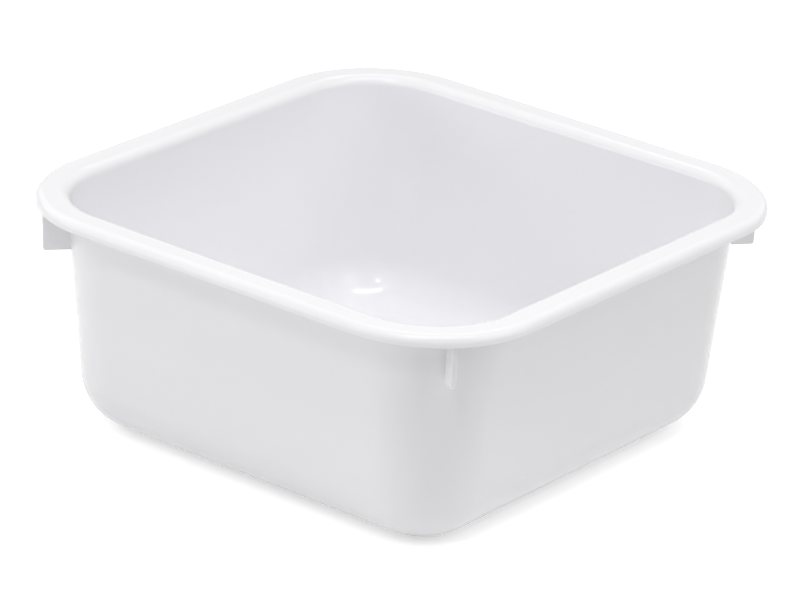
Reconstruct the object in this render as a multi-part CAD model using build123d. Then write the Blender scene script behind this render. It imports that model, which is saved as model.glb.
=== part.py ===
from build123d import *
import math
import os

# A square washing up bowl: one plastic moulding, divided into the regions that a toolmaker would name.
# Sizes are in millimetres. Z is up, and the origin lies under the middle of the bowl, on what it stands on.
#
# Seen from above, every level line of the bowl is a rounded square, and all of them share their corners'
# centres. So each region is one section, drawn on the +X side and carried round.

# Driving dimensions of the whole bowl
rim_outer_width = 360.0
overall_height = 154.4
wall_thickness = 2.3
wall_draft_degrees = 5.76

# Rim: a round lip, a level flange and an edge that is turned down
rim_width = 20.3
lip_radius = 6.7
rim_edge_radius = 5.2
skirt_height = 2.2
skirt_edge_break = 0.6

# Floor: a flat with a large bend up into the walls, and the gate's recess under its middle
bottom_bend_radius = 37.3
flat_corner_radius = 7.1
gate_recess_diameter = 12.0
gate_recess_depth = 0.8

# Foot ring under the flat
foot_height = 1.4
foot_width = 3.5
foot_inset = 1.0
foot_edge_break = 0.5

# Upright ribs under the rim, one at each corner, all turned the same way from the corner's diagonal
rib_thickness = 3.2
rib_bottom_depth = 35.6
rib_end_inset = 1.0
rib_end_draft_degrees = 2.4
rib_corner_radius = 1.5
rib_turn_degrees = 5.5

# One overrun for all cuts
overrun = 5.0

# Heights
base_z = foot_height
rim_underside_z = overall_height - wall_thickness
skirt_bottom_z = overall_height - rim_edge_radius - skirt_height

# The walls lean outwards, so their level thickness is a little more than the wall's own
draft = math.radians(wall_draft_degrees)
draft_slope = math.tan(draft)
level_thickness = wall_thickness / math.cos(draft)

# Half widths of the rim
rim_half = rim_outer_width / 2
rim_inner_half = rim_half - rim_width
skirt_inner_half = rim_half - wall_thickness


def wall_inside(z):
    """Half the width between the walls at a height."""
    return rim_inner_half - (overall_height - z) * draft_slope


def wall_outside(z):
    """Half the width over the walls at a height."""
    return wall_inside(z) + level_thickness


# The bend touches the flat this far from where the lines of flat and wall cross
bend_reach = bottom_bend_radius * math.tan((math.pi / 2 - draft) / 2)
flat_half = wall_outside(base_z) - bend_reach

# The lip touches the wall at this height
lip_start_z = overall_height - lip_radius * (1 - math.sin(draft))

# Centres of the bends in the section
bend_centre = (flat_half, base_z + bottom_bend_radius)
lip_centre = (wall_inside(lip_start_z) + lip_radius * math.cos(draft), overall_height - lip_radius)
edge_centre = (rim_half - rim_edge_radius, overall_height - rim_edge_radius)

# Directions from those centres to the wall, and the one at which the bottom bend is divided
bend_to_wall_degrees = -wall_draft_degrees
lip_to_wall_degrees = 180 - wall_draft_degrees
bend_middle_degrees = -45

# Centre of the corners' arcs, the same for every level line
corner_centre = flat_half - flat_corner_radius


def polar_point(centre, radius, degrees):
    angle = math.radians(degrees)
    return (centre[0] + radius * math.cos(angle), centre[1] + radius * math.sin(angle))


def flats_round(centre, radius, start, end):
    """Corners between three flats that touch an arc at its start, middle and end."""
    quarter = (end - start) / 4
    reach = radius / math.cos(math.radians(quarter))
    return [polar_point(centre, reach, start + quarter), polar_point(centre, reach, end - quarter)]


def carried_round(*lines):
    """The section inside closed lines on the +X side, carried round the bowl."""
    path = []
    for quarter in range(4):
        turn = Rotation(0, 0, 90 * quarter)
        side = Line((rim_half, -corner_centre), (rim_half, corner_centre))
        corner = CenterArc((corner_centre, corner_centre), rim_half - corner_centre, 0, 90)
        path += [(turn * piece).edge() for piece in (side, corner)]
    section = make_face([edge for line in lines for edge in line.edges()])
    return sweep(Plane.XZ.offset(corner_centre) * section, path=Wire(path))


def make_basin_floor():
    """The flat, with the shallow recess of the gate under its middle."""
    to_bottom = (Align.CENTER, Align.CENTER, Align.MIN)
    flat = extrude(RectangleRounded(2 * flat_half, 2 * flat_half, flat_corner_radius), amount=wall_thickness)
    recess = Cylinder(gate_recess_diameter / 2, gate_recess_depth, align=to_bottom)
    return Pos(0, 0, base_z) * (flat - recess)


def make_bottom_bend(start, end):
    """A part of the large bend between flat and walls, from one direction to another."""
    outside = CenterArc(bend_centre, bottom_bend_radius, start, end - start)
    inside = CenterArc(bend_centre, bottom_bend_radius - wall_thickness, start, end - start)
    return carried_round(outside, inside, Line(outside @ 0, inside @ 0), Line(outside @ 1, inside @ 1))


def make_side_wall():
    """The four drafted walls and their round corners."""
    outline = Polyline(
        polar_point(bend_centre, bottom_bend_radius, bend_to_wall_degrees),
        polar_point(lip_centre, lip_radius - wall_thickness, lip_to_wall_degrees),
        polar_point(lip_centre, lip_radius, lip_to_wall_degrees),
        polar_point(bend_centre, bottom_bend_radius - wall_thickness, bend_to_wall_degrees),
        close=True,
    )
    return carried_round(outline)


def make_rim_flange():
    """The round lip that turns out from the walls and the level flange outside it."""
    lip = CenterArc(lip_centre, lip_radius, 90, lip_to_wall_degrees - 90)
    hidden_radius = lip_radius - wall_thickness
    flange = Polyline(
        lip @ 0,
        (edge_centre[0], overall_height),
        (edge_centre[0], rim_underside_z),
        *flats_round(lip_centre, hidden_radius, 90, lip_to_wall_degrees),
        polar_point(lip_centre, hidden_radius, lip_to_wall_degrees),
        lip @ 1,
    )
    return carried_round(lip, flange)


def make_rim_edge():
    """The round edge of the rim and the low skirt below it, with its outer lower edge broken."""
    edge = CenterArc(edge_centre, rim_edge_radius, 0, 90)
    skirt = Polyline(
        edge @ 0,
        (rim_half, skirt_bottom_z + skirt_edge_break),
        (rim_half - skirt_edge_break, skirt_bottom_z),
        (skirt_inner_half, skirt_bottom_z),
        *flats_round(edge_centre, rim_edge_radius - wall_thickness, 0, 90),
        (edge_centre[0], rim_underside_z),
        edge @ 1,
    )
    return carried_round(edge, skirt)


def make_foot_ring():
    """The low ring under the flat that the bowl stands on, with its lower edges broken."""
    outer_half = flat_half - foot_inset
    inner_half = outer_half - foot_width
    outline = Polyline(
        (outer_half, base_z),
        (outer_half, foot_edge_break),
        (outer_half - foot_edge_break, 0),
        (inner_half + foot_edge_break, 0),
        (inner_half, foot_edge_break),
        (inner_half, base_z),
        close=True,
    )
    return carried_round(outline)


def make_corner_rib(quarter, neighbours):
    """One upright rib, radial to its corner, cut to seat on the wall and under the whole rim."""
    bottom_z = overall_height - rib_bottom_depth
    seat_z = skirt_bottom_z + skirt_edge_break
    seat_end = skirt_inner_half + wall_thickness / 2 - corner_centre
    top_end = skirt_inner_half - rib_end_inset - corner_centre
    bottom_end = top_end - (seat_z - bottom_z) * math.tan(math.radians(rib_end_draft_degrees))
    inner_end = wall_inside(bottom_z) - overrun - corner_centre
    outline = Polyline(
        (inner_end, overall_height),
        (inner_end, bottom_z),
        (bottom_end, bottom_z),
        (top_end, seat_z),
        (seat_end, seat_z),
        (seat_end, overall_height),
        close=True,
    )
    face = make_face(outline)
    face = fillet(face.vertices().sort_by(Axis.Y)[:2].sort_by(Axis.X)[-1], rib_corner_radius)
    blank = extrude(Plane.XZ * face, amount=rib_thickness / 2, both=True)
    place = Location((corner_centre, corner_centre, 0), (0, 0, 45 + rib_turn_degrees))
    rib = Rotation(0, 0, 90 * quarter) * place * blank - neighbours
    # The blank also reaches into the bowl and above the flange. Its largest piece is the rib.
    return rib.solids().sort_by(SortBy.VOLUME)[-1]


def main():
    os.makedirs("parts", exist_ok=True)
    nodes = {
        "basin_floor": make_basin_floor(),
        "lower_bend": make_bottom_bend(-90, bend_middle_degrees),
        "upper_bend": make_bottom_bend(bend_middle_degrees, bend_to_wall_degrees),
        "side_wall": make_side_wall(),
        "rim_flange": make_rim_flange(),
        "rim_edge": make_rim_edge(),
        "foot_ring": make_foot_ring(),
    }
    neighbours = [nodes[name] for name in ("side_wall", "rim_flange", "rim_edge")]
    corners = ("back_right", "back_left", "front_left", "front_right")
    for quarter, corner in enumerate(corners):
        nodes["corner_rib_" + corner] = make_corner_rib(quarter, neighbours)
    for name, solid in nodes.items():
        export_step(solid, "parts/" + name + ".step")


main()
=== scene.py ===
import math

import bmesh
import bpy
from mathutils import Matrix, Vector


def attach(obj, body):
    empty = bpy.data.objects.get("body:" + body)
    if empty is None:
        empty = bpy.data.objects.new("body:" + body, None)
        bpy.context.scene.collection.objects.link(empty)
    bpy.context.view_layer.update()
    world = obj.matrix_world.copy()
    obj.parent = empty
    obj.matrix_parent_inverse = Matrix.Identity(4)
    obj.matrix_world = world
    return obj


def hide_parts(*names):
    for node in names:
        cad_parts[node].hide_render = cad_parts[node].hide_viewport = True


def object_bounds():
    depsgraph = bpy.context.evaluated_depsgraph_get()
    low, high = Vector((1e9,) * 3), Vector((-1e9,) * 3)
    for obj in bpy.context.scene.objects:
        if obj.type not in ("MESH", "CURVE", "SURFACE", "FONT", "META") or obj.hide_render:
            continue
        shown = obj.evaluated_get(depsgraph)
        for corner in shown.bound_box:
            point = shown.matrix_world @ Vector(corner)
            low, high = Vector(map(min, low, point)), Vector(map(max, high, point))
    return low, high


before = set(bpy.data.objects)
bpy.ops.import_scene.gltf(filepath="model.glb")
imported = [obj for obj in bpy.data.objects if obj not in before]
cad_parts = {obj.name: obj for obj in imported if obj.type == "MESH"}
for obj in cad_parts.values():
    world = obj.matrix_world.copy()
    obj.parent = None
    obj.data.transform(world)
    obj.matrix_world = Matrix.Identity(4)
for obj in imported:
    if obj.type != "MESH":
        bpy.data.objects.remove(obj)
cad_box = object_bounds()

# A square washing up bowl of white plastic, one moulding. Its pieces are the regions of that moulding, and
# most are a section carried round the bowl. Sizes are in metres, with +Z up and the origin under the middle.

MM = 0.001

# The bowl's own sizes
rim_half = cad_box[1][0]
overall_height = cad_box[1][2]
wall_thickness = 2.3 * MM
wall_draft = math.radians(5.76)
rim_width = 20.3 * MM
lip_radius = 6.7 * MM
rim_edge_radius = 5.2 * MM
skirt_height = 2.2 * MM
skirt_edge_round = 0.6 * MM
bottom_bend_radius = 37.3 * MM
flat_corner_radius = 7.1 * MM
gate_recess_radius = 6.0 * MM
gate_recess_depth = 0.8 * MM
gate_recess_top_radius = 5.6 * MM
gate_mark_radius = 1.6 * MM
gate_mark_tip_radius = 0.8 * MM
gate_mark_height = 0.4 * MM
foot_height = 1.4 * MM
foot_width = 3.5 * MM
foot_inset = 1.0 * MM
foot_edge_round = 0.5 * MM
rib_thickness = 3.2 * MM
rib_bottom_depth = 35.6 * MM
rib_end_inset = 1.0 * MM
rib_end_draft = math.radians(2.4)
rib_corner_radius = 1.5 * MM
rib_turn = math.radians(5.5)
rib_edge_round = 0.45 * MM
sharpest_unbroken_edge = math.radians(40)

# How far the ribs reach into the wall, the flange and the skirt that they seat on
rib_seat = 1.2 * MM

# Worked out from them, as in the part
base_z = foot_height
floor_top_z = base_z + wall_thickness
rim_underside_z = overall_height - wall_thickness
skirt_bottom_z = overall_height - rim_edge_radius - skirt_height
draft_slope = math.tan(wall_draft)
rim_inner_half = rim_half - rim_width
skirt_inner_half = rim_half - wall_thickness


def wall_inside(z):
    return rim_inner_half - (overall_height - z) * draft_slope


def wall_outside(z):
    return wall_inside(z) + wall_thickness / math.cos(wall_draft)


bend_reach = bottom_bend_radius * math.tan((math.pi / 2 - wall_draft) / 2)
flat_half = wall_outside(base_z) - bend_reach
lip_start_z = overall_height - lip_radius * (1 - math.sin(wall_draft))
bend_centre = (flat_half, base_z + bottom_bend_radius)
lip_centre = (wall_inside(lip_start_z) + lip_radius * math.cos(wall_draft), overall_height - lip_radius)
edge_centre = (rim_half - rim_edge_radius, overall_height - rim_edge_radius)
bend_to_wall = -wall_draft
lip_to_wall = math.pi - wall_draft
bend_middle = -math.pi / 4
corner_centre = flat_half - flat_corner_radius

# How finely the meshes are divided
corner_steps = 48
side_steps = 10
bend_steps = 14
lip_steps = 16
break_steps = 4
rib_edge_steps = 3


# A section is a list of strokes in half width and height: start, end, normal at the start and at the end

def polar(centre, radius, angle):
    return (centre[0] + radius * math.cos(angle), centre[1] + radius * math.sin(angle))


def arc_points(centre, radius, start, end):
    angles = [start + (end - start) * step / break_steps for step in range(break_steps + 1)]
    return [polar(centre, radius, angle) for angle in angles]


def arc_strokes(centre, radius, start, end, steps, outward=1):
    """Strokes along an arc. Their normals point away from its centre, or towards it with outward = -1."""
    strokes = []
    for step in range(steps):
        first = start + (end - start) * step / steps
        second = start + (end - start) * (step + 1) / steps
        normals = [(outward * math.cos(a), outward * math.sin(a)) for a in (first, second)]
        strokes.append((polar(centre, radius, first), polar(centre, radius, second), *normals))
    return strokes


def line_strokes(*points):
    """Straight strokes through points. The solid lies on their left, so their normals point to the right."""
    strokes = []
    for first, second in zip(points, points[1:]):
        along = Vector(second) - Vector(first)
        normal = (along.y / along.length, -along.x / along.length)
        strokes.append((first, second, normal, normal))
    return strokes


def plan_stations():
    """Where a section stands as it goes round: a point of the square skeleton and the direction outwards."""
    stations = []
    for quarter in range(4):
        turn = Matrix.Rotation(quarter * math.pi / 2, 2)
        for step in range(side_steps):
            across = corner_centre * (2 * step / side_steps - 1)
            stations.append((turn @ Vector((corner_centre, across)), turn @ Vector((1, 0))))
        corner = turn @ Vector((corner_centre, corner_centre))
        for step in range(corner_steps):
            angle = math.pi / 2 * step / corner_steps
            stations.append((corner, turn @ Vector((math.cos(angle), math.sin(angle)))))
    return stations


def piece_with(name, mesh):
    piece = bpy.data.objects.new(name, mesh)
    bpy.context.scene.collection.objects.link(piece)
    return piece


def piece_from(name, working_mesh):
    """A piece from a bmesh, which is freed."""
    mesh = bpy.data.meshes.new(name)
    working_mesh.to_mesh(mesh)
    working_mesh.free()
    return piece_with(name, mesh)


def carried_round(name, strokes):
    """A piece from a closed section, counter-clockwise in half width and height, carried round the bowl."""
    stations = plan_stations()
    count = len(strokes)
    points, faces, normals = [], [], []
    for skeleton, outwards in stations:
        for start, _, _, _ in strokes:
            flat = skeleton + outwards * (start[0] - corner_centre)
            points.append((flat.x, flat.y, start[1]))
    for here in range(len(stations)):
        there = (here + 1) % len(stations)
        for stroke in range(count):
            after = (stroke + 1) % count
            low, high = here * count, there * count
            faces.append((low + stroke, high + stroke, high + after, low + after))
            _, _, first, second = strokes[stroke]
            for station, (across, up) in ((here, first), (there, first), (there, second), (here, second)):
                flat = stations[station][1] * across
                normals.append((flat.x, flat.y, up))
    mesh = bpy.data.meshes.new(name)
    mesh.from_pydata(points, [], faces)
    mesh.polygons.foreach_set("use_smooth", [True] * len(faces))
    mesh.normals_split_custom_set(normals)
    return piece_with(name, mesh)


# The regions of the moulding

def bottom_bend(start, end):
    """A part of the large bend between flat and walls."""
    outer = bottom_bend_radius
    inner = outer - wall_thickness
    return (
        arc_strokes(bend_centre, outer, start, end, bend_steps)
        + line_strokes(polar(bend_centre, outer, end), polar(bend_centre, inner, end))
        + arc_strokes(bend_centre, inner, end, start, bend_steps, outward=-1)
        + line_strokes(polar(bend_centre, inner, start), polar(bend_centre, outer, start))
    )


def side_wall():
    """The drafted walls and their round corners."""
    outer_foot = polar(bend_centre, bottom_bend_radius, bend_to_wall)
    outer_top = polar(lip_centre, lip_radius - wall_thickness, lip_to_wall)
    inner_top = polar(lip_centre, lip_radius, lip_to_wall)
    inner_foot = polar(bend_centre, bottom_bend_radius - wall_thickness, bend_to_wall)
    return line_strokes(outer_foot, outer_top, inner_top, inner_foot, outer_foot)


def rim_flange():
    """The round lip and the level flange outside it."""
    hidden_radius = lip_radius - wall_thickness
    top = math.pi / 2
    return (
        arc_strokes(lip_centre, hidden_radius, lip_to_wall, top, lip_steps, outward=-1)
        + line_strokes(
            (lip_centre[0], rim_underside_z),
            (edge_centre[0], rim_underside_z),
            (edge_centre[0], overall_height),
            (lip_centre[0], overall_height),
        )
        + arc_strokes(lip_centre, lip_radius, top, lip_to_wall, lip_steps)
        + line_strokes(
            polar(lip_centre, lip_radius, lip_to_wall),
            polar(lip_centre, hidden_radius, lip_to_wall),
        )
    )


def rim_edge():
    """The round edge of the rim and the low skirt below it."""
    size = skirt_edge_round
    inner_round = (skirt_inner_half + size, skirt_bottom_z + size)
    outer_round = (rim_half - size, skirt_bottom_z + size)
    top = math.pi / 2
    return (
        arc_strokes(edge_centre, rim_edge_radius - wall_thickness, top, 0, lip_steps, outward=-1)
        + line_strokes((skirt_inner_half, edge_centre[1]), (skirt_inner_half, inner_round[1]))
        + arc_strokes(inner_round, size, math.pi, 3 * top, break_steps)
        + line_strokes((inner_round[0], skirt_bottom_z), (outer_round[0], skirt_bottom_z))
        + arc_strokes(outer_round, size, -top, 0, break_steps)
        + line_strokes((rim_half, outer_round[1]), (rim_half, edge_centre[1]))
        + arc_strokes(edge_centre, rim_edge_radius, 0, top, lip_steps)
        + line_strokes((edge_centre[0], overall_height), (edge_centre[0], rim_underside_z))
    )


def foot_ring():
    """The low ring that the bowl stands on."""
    size = foot_edge_round
    outer = flat_half - foot_inset
    inner = outer - foot_width
    down = -math.pi / 2
    return (
        line_strokes((inner + size, 0), (outer - size, 0))
        + arc_strokes((outer - size, size), size, down, 0, break_steps)
        + line_strokes((outer, size), (outer, base_z), (inner, base_z), (inner, size))
        + arc_strokes((inner + size, size), size, -math.pi, down, break_steps)
    )


def basin_floor():
    """The flat, with the gate's recess and the gate's mark under its middle."""
    rings = [
        (flat_half, floor_top_z, False),
        (flat_half, base_z, False),
        (gate_recess_radius, base_z, True),
        (gate_recess_top_radius, base_z + gate_recess_depth, True),
        (gate_mark_radius, base_z + gate_recess_depth, True),
        (gate_mark_tip_radius, base_z + gate_recess_depth - gate_mark_height, True),
    ]
    stations = plan_stations()
    mesh = bmesh.new()
    loops = []
    for reach, height, is_circle in rings:
        loop = []
        for skeleton, outwards in stations:
            place = skeleton + outwards * (flat_half - corner_centre)
            if is_circle:
                place = place.normalized() * reach
            loop.append(mesh.verts.new((place.x, place.y, height)))
        loops.append(loop)
    for upper, lower in zip(loops, loops[1:]):
        for here in range(len(stations)):
            there = (here + 1) % len(stations)
            mesh.faces.new((upper[here], lower[here], lower[there], upper[there]))
    mesh.faces.new(loops[0])
    mesh.faces.new(list(reversed(loops[-1])))
    return piece_from("floor_flat", mesh)


def corner_rib(name, quarter):
    """A thin upright plate under the rim, let into the wall, the flange and the skirt."""
    bottom_z = overall_height - rib_bottom_depth
    seat_z = skirt_bottom_z + skirt_edge_round
    top_end = skirt_inner_half - rib_end_inset
    bottom_end = top_end - (seat_z - bottom_z) * math.tan(rib_end_draft)
    corner = (bottom_end - rib_corner_radius, bottom_z + rib_corner_radius)
    lip_seat = lip_radius - wall_thickness + rib_seat
    edge_seat = rim_edge_radius - wall_thickness + rib_seat
    top = math.pi / 2
    skirt_seat = skirt_inner_half + rib_seat
    outline = [(wall_outside(bottom_z) - rib_seat, bottom_z)]
    outline += arc_points(corner, rib_corner_radius, -top, 0)
    outline += [(top_end, seat_z), (skirt_seat, seat_z)]
    outline += arc_points(edge_centre, edge_seat, 0, top)
    outline += arc_points(lip_centre, lip_seat, top, lip_to_wall)

    mesh = bmesh.new()
    sides = []
    for across in (-rib_thickness / 2, rib_thickness / 2):
        sides.append([mesh.verts.new((half - corner_centre, across, z)) for half, z in outline])
    mesh.faces.new(sides[0])
    mesh.faces.new(list(reversed(sides[1])))
    for here in range(len(outline)):
        there = (here + 1) % len(outline)
        mesh.faces.new((sides[0][there], sides[0][here], sides[1][here], sides[1][there]))
    bmesh.ops.recalc_face_normals(mesh, faces=mesh.faces)
    turn = Matrix.Rotation(math.pi / 4 + rib_turn, 4, "Z")
    place = Matrix.Translation((corner_centre, corner_centre, 0)) @ turn
    mesh.transform(Matrix.Rotation(quarter * math.pi / 2, 4, "Z") @ place)
    piece = piece_from(name, mesh)
    bevel = piece.modifiers.new("edges", "BEVEL")
    bevel.width = rib_edge_round
    bevel.segments = rib_edge_steps
    bevel.limit_method = "ANGLE"
    bevel.angle_limit = sharpest_unbroken_edge
    bevel.harden_normals = True
    piece.data.polygons.foreach_set("use_smooth", [True] * len(piece.data.polygons))
    return piece


# Materials

# Plastic: refraction, strength of the gleam, and the two ends of its tone
plastic_ior = 1.49
plastic_specular = 0.3
tone_dark = (0.846, 0.848, 0.876, 1)
tone_light = (0.867, 0.869, 0.898, 1)
tone_clouds = {"Scale": 9.0, "Detail": 3.0}

# Roughness where no scuff is, and the patches that it goes by
gloss_range = {"To Min": 0.1, "To Max": 0.17}
gloss_patches = {"Scale": 28.0, "Detail": 4.0}

# Scuffs: up to what height they are thick, how much they add to the roughness below and above it, their
# directions in degrees, their density along and across, and how much of the noise is a scuff
scuffed_height = 14 * MM
scuffs_low = 0.3
scuffs_high = 0.06
scuff_turns = (12, 55, 101, 148)
scuff_stretch = (25, 1400, 25)
scuff_streaks = {"Scale": 1.0, "Detail": 2.0}
scuff_edge = {"From Min": 0.64, "From Max": 0.74}

# Relief: waves of shrinkage and grain
shrinkage_waves = {"Scale": 22.0, "Detail": 1.0}
wave_relief = {"Strength": 0.25, "Distance": 1.2 * MM}
fine_grain = {"Scale": 900.0, "Detail": 2.0}
grain_relief = {"Strength": 0.12, "Distance": 0.1 * MM}

# Paper of the floor, and how far what the camera sees of it is lifted towards white
paper_tone = (0.88, 0.88, 0.88, 1)
paper_roughness = 0.9
paper_specular = 0.1
floor_lift = 0.5


def add_node(tree, kind, **settings):
    """A new node. Each setting is the value of an input of that name, or else a property of the node."""
    node = tree.nodes.new(kind)
    for name, value in settings.items():
        if name in node.inputs:
            node.inputs[name].default_value = value
        else:
            setattr(node, name, value)
    return node


def noise_at(tree, place, settings):
    noise = add_node(tree, "ShaderNodeTexNoise", **settings)
    tree.links.new(place, noise.inputs["Vector"])
    return noise.outputs["Fac"]


def mapped(tree, value, settings):
    """A value moved from one range to another, 0 to 1 where the settings name none."""
    ranged = add_node(tree, "ShaderNodeMapRange", **settings)
    tree.links.new(value, ranged.inputs["Value"])
    return ranged.outputs["Result"]


def scuffed(tree, place, roughness):
    """Roughness with fine straight scuffs, thickest on the foot ring and the basin's floor."""
    links = tree.links
    height = add_node(tree, "ShaderNodeSeparateXYZ")
    links.new(place, height.inputs["Vector"])
    dulling = mapped(tree, height.outputs["Z"], {
        "From Min": foot_height, "From Max": scuffed_height, "To Min": scuffs_low, "To Max": scuffs_high,
    })
    for turn in scuff_turns:
        along = add_node(tree, "ShaderNodeMapping")
        along.inputs["Rotation"].default_value = (0, 0, math.radians(turn))
        along.inputs["Scale"].default_value = scuff_stretch
        links.new(place, along.inputs["Vector"])
        lines = mapped(tree, noise_at(tree, along.outputs["Vector"], scuff_streaks), scuff_edge)
        added = add_node(tree, "ShaderNodeMath", operation="MULTIPLY_ADD")
        for socket, value in zip(added.inputs, (lines, dulling, roughness)):
            links.new(value, socket)
        roughness = added.outputs["Value"]
    return roughness


def make_white_plastic():
    """Moulded polypropylene: white, half gloss, a little uneven in tone, gloss and flatness, with scuffs."""
    material = bpy.data.materials.new("white_plastic")
    material.use_nodes = True
    tree = material.node_tree
    links = tree.links
    shader = tree.nodes["Principled BSDF"]
    shader.inputs["IOR"].default_value = plastic_ior
    shader.inputs["Specular IOR Level"].default_value = plastic_specular
    place = add_node(tree, "ShaderNodeTexCoord").outputs["Object"]

    # Tone: broad clouds, which the eye can only just see
    tone = add_node(tree, "ShaderNodeMix", data_type="RGBA")
    links.new(noise_at(tree, place, tone_clouds), tone.inputs["Factor"])
    tone.inputs["A"].default_value = tone_dark
    tone.inputs["B"].default_value = tone_light
    links.new(tone.outputs["Result"], shader.inputs["Base Color"])

    # Gloss: patchy as moulded, duller in the scuffs
    gloss = mapped(tree, noise_at(tree, place, gloss_patches), gloss_range)
    links.new(scuffed(tree, place, gloss), shader.inputs["Roughness"])

    # Relief: the grain lies on the waves
    wave_bump = add_node(tree, "ShaderNodeBump", **wave_relief)
    links.new(noise_at(tree, place, shrinkage_waves), wave_bump.inputs["Height"])
    grain_bump = add_node(tree, "ShaderNodeBump", **grain_relief)
    links.new(noise_at(tree, place, fine_grain), grain_bump.inputs["Height"])
    links.new(wave_bump.outputs["Normal"], grain_bump.inputs["Normal"])
    links.new(grain_bump.outputs["Normal"], shader.inputs["Normal"])
    return material


def seen_or_mirrored(tree):
    """One where the camera looks, straight on, in a gloss or through something clear. Zero elsewhere."""
    links = tree.links
    rays = add_node(tree, "ShaderNodeLightPath")
    total = rays.outputs["Is Camera Ray"]
    for name in ("Is Glossy Ray", "Is Transmission Ray"):
        either = add_node(tree, "ShaderNodeMath", operation="MAXIMUM")
        links.new(total, either.inputs[0])
        links.new(rays.outputs[name], either.inputs[1])
        total = either.outputs["Value"]
    return total


def make_studio_paper():
    """Matt white paper. What the camera sees of it is lifted to white, and the bowl's shadow stays."""
    material = bpy.data.materials.new("studio_floor")
    material.use_nodes = True
    tree = material.node_tree
    shader = tree.nodes["Principled BSDF"]
    shader.inputs["Base Color"].default_value = paper_tone
    shader.inputs["Roughness"].default_value = paper_roughness
    shader.inputs["Specular IOR Level"].default_value = paper_specular
    shader.inputs["Emission Color"].default_value = (1, 1, 1, 1)
    lift = mapped(tree, seen_or_mirrored(tree), {"To Min": 0.0, "To Max": floor_lift})
    tree.links.new(lift, shader.inputs["Emission Strength"])
    return material


# The bowl

white_plastic = make_white_plastic()
pieces = {
    "lower_bend": carried_round("lower_bend_skin", bottom_bend(-math.pi / 2, bend_middle)),
    "upper_bend": carried_round("upper_bend_skin", bottom_bend(bend_middle, bend_to_wall)),
    "side_wall": carried_round("side_wall_skin", side_wall()),
    "rim_flange": carried_round("rim_flange_skin", rim_flange()),
    "rim_edge": carried_round("rim_edge_skin", rim_edge()),
    "foot_ring": carried_round("foot_ring_skin", foot_ring()),
    "basin_floor": basin_floor(),
}
for quarter, corner in enumerate(("back_right", "back_left", "front_left", "front_right")):
    pieces["corner_rib_" + corner] = corner_rib("rib_" + corner, quarter)
for node, piece in pieces.items():
    piece.data.materials.append(white_plastic)
    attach(piece, "root")
    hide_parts(node)


# Studio

# Where the photograph was taken from, with lens and sensor in millimetres
camera_place = Vector((1.722406, -2.204897, 1.249029))
camera_target = Vector((-0.004343, 0.006559, 0.080000))
camera_roll = math.radians(2.776)
camera_lens = 222.29
sensor_width = 36.0
camera_azimuth = math.atan2(camera_place.y, camera_place.x)

# A ring of soft boxes, a strip overhead and small lamps that make the gleams. Each has its turn from the
# camera's side, to the right, and its elevation in degrees, its width and height, and its power in watts.
lamp_colour = (1.0, 0.985, 0.97)
lamp_distance = 2.2
lamps_look_at = Vector((0, 0, overall_height / 2))
soft_boxes = {
    "left": (-75, 10, 1.1, 0.5, 6.5),
    "far_left": (-105, 30, 1.8, 1.8, 8.5),
    "front_left": (-40, 35, 1.8, 1.8, 9.5),
    "right": (70, 35, 1.8, 1.8, 17.5),
    "back_right": (135, 35, 1.8, 1.8, 6.0),
    "back_left": (-135, 35, 1.8, 1.8, 5.0),
    "overhead": (15, 73, 1.9, 0.3, 24.8),
    "behind": (175, 50, 0.8, 0.35, 3.5),
    "small_front": (-16, 46, 0.18, 0.18, 3.2),
    "small_left": (-65, 41, 0.15, 0.15, 1.2),
}
world_strength = 0.02
floor_half = 6


def make_floor():
    mesh = bmesh.new()
    bmesh.ops.create_grid(mesh, x_segments=1, y_segments=1, size=floor_half)
    floor = piece_from("studio_floor", mesh)
    floor.data.materials.append(make_studio_paper())


def make_world():
    """Weak light from all round, and white where the camera sees past the floor."""
    world = bpy.data.worlds.new("studio")
    bpy.context.scene.world = world
    world.use_nodes = True
    tree = world.node_tree
    background = tree.nodes["Background"]
    background.inputs["Color"].default_value = (1, 1, 1, 1)
    strength = mapped(tree, seen_or_mirrored(tree), {"To Min": world_strength, "To Max": 1.0})
    tree.links.new(strength, background.inputs["Strength"])


def soft_box(name, turn, elevation, width, height, power):
    """A rectangular lamp that looks at the bowl."""
    light = bpy.data.lights.new(name, "AREA")
    light.shape = "RECTANGLE"
    light.size = width
    light.size_y = height
    light.energy = power
    light.color = lamp_colour
    lamp = bpy.data.objects.new(name, light)
    around = camera_azimuth + math.radians(turn)
    up = math.radians(elevation)
    way = Vector((math.cos(around) * math.cos(up), math.sin(around) * math.cos(up), math.sin(up)))
    lamp.location = lamps_look_at + lamp_distance * way
    lamp.rotation_euler = (-way).to_track_quat("-Z", "Y").to_euler()
    bpy.context.scene.collection.objects.link(lamp)


def make_camera():
    camera_data = bpy.data.cameras.new("camera")
    camera_data.sensor_width = sensor_width
    camera_data.lens = camera_lens
    camera = bpy.data.objects.new("camera", camera_data)
    aim = (camera_target - camera_place).to_track_quat("-Z", "Y").to_matrix().to_4x4()
    camera.matrix_world = Matrix.Translation(camera_place) @ aim @ Matrix.Rotation(camera_roll, 4, "Z")
    bpy.context.scene.collection.objects.link(camera)
    bpy.context.scene.camera = camera


make_floor()
make_world()
make_camera()
for name, settings in soft_boxes.items():
    soft_box(name, *settings)

bpy.context.scene.view_settings.view_transform = "Standard"
